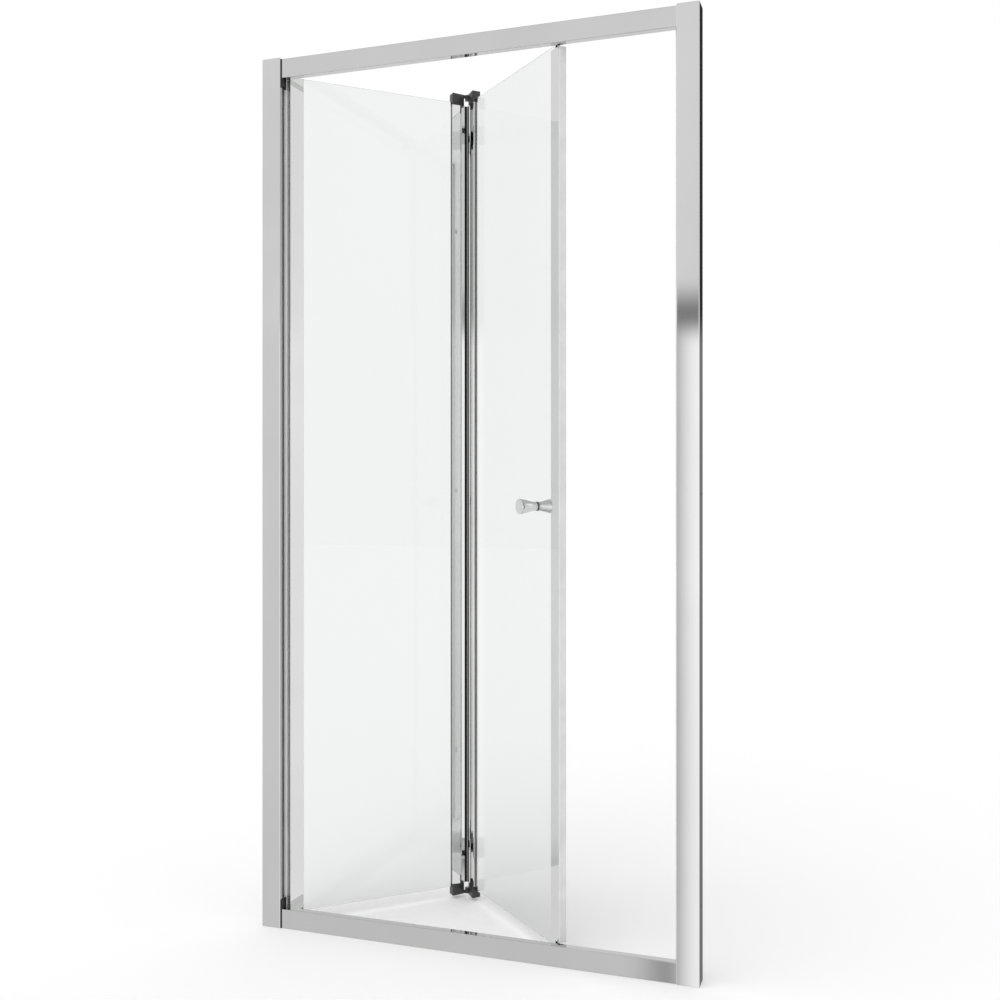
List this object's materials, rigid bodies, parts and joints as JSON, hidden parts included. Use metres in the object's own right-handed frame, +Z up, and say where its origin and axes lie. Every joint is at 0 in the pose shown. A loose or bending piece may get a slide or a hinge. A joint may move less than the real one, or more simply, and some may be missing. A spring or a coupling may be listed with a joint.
{
  "type": "bifold shower door",
  "caption": "Bifold shower door: framed glass leaves hinged together fold inwards between wall channels, guided in tracks in the head rail and bottom rail.",
  "frame": {"origin": "middle of the door's width, on the line of the track (the mid plane of the closed leaves), at the underside of the bottom rail", "axes": "+X across the door from the pivot side to the closing side, -Y towards the room and the viewer, +Y into the shower, +Z up"},
  "size_m": [0.957, 0.3181, 1.9],
  "materials": {
    "bright_aluminium": "extruded, bright polished silver",
    "polished_stile": "extruded, mirror polished silver",
    "chrome_knob": "mirror chrome",
    "chrome_covers": "chromed cover caps",
    "clear_glass": "clear toughened glass",
    "black_plastic": "moulded, satin",
    "grey_plastic": "moulded acetal",
    "black_rubber": "soft extruded seal",
    "white_seal": "soft extruded seal",
    "grey_strip": "extruded strip, satin",
    "grey_gasket": "extruded glazing gasket",
    "magnet_strip": "bonded magnet",
    "steel_pins": "ground stainless steel",
    "steel_screws": "stainless steel"
  },
  "bodies": {
    "frame": {"wall_channel_left": "bright_aluminium", "wall_channel_right": "bright_aluminium", "pivot_jamb": "bright_aluminium", "closing_jamb": "bright_aluminium", "head_rail": "bright_aluminium", "bottom_rail": "bright_aluminium", "end_block_bottom": "black_plastic", "end_block_top": "black_plastic", "pivot_bracket_bottom": "grey_plastic", "pivot_bracket_top": "grey_plastic", "bracket_screws": "steel_screws", "pivot_pins": "steel_pins", "corner_screws": "steel_screws", "channel_screws": "steel_screws", "channel_screw_covers": "chrome_covers", "closing_seal": "white_seal", "closing_magnet": "magnet_strip"},
    "inner_leaf": {"inner_glass": "clear_glass", "inner_gaskets": "grey_gasket", "pivot_stile": "polished_stile", "pivot_bushes": "grey_plastic", "inner_hinge_stile": "polished_stile", "inner_hinge_seal": "black_rubber", "inner_hinge_cap_bottom": "black_plastic", "inner_hinge_cap_top": "black_plastic", "hinge_pins": "steel_pins"},
    "outer_leaf": {"outer_glass": "clear_glass", "outer_gaskets": "grey_gasket", "outer_hinge_stile": "polished_stile", "outer_hinge_seal": "black_rubber", "outer_hinge_cap_bottom": "black_plastic", "outer_hinge_cap_top": "black_plastic", "leading_stile": "polished_stile", "leading_end_plugs": "grey_plastic", "leading_strip": "grey_strip", "leading_magnet": "magnet_strip", "guide_pins": "steel_pins", "knob_outer": "chrome_knob", "knob_inner": "chrome_knob", "knob_washers": "black_rubber", "knob_stud": "steel_screws"},
    "bottom_guide": {"bottom_guide_shoe": "grey_plastic"},
    "top_guide": {"top_guide_shoe": "grey_plastic"}
  },
  "joints": [
    {"name": "leaf_pivot", "type": "hinge", "parent": "frame", "child": "inner_leaf", "pos_m": [-0.4187, 0, 0.95], "axis": [0, 0, 1], "range_deg": [-43.65, 36.35]},
    {"name": "leaf_fold", "type": "hinge", "parent": "inner_leaf", "child": "outer_leaf", "pos_m": [-0.11475, 0.28304, 0.95], "axis": [0, 0, 1], "range_deg": [-72.7, 87.3]},
    {"name": "bottom_guide_turn", "type": "hinge", "parent": "outer_leaf", "child": "bottom_guide", "pos_m": [0.1892, 0, 0.02], "axis": [0, 0, 1], "range_deg": [-43.65, 36.35]},
    {"name": "top_guide_turn", "type": "hinge", "parent": "outer_leaf", "child": "top_guide", "pos_m": [0.1892, 0, 1.88], "axis": [0, 0, 1], "range_deg": [-43.65, 36.35]}
  ],
  "couplings": [
    {"joint": "leaf_fold", "follows": "leaf_pivot", "ratio": -2},
    {"joint": "bottom_guide_turn", "follows": "leaf_pivot", "ratio": 1},
    {"joint": "top_guide_turn", "follows": "leaf_pivot", "ratio": 1}
  ]
}
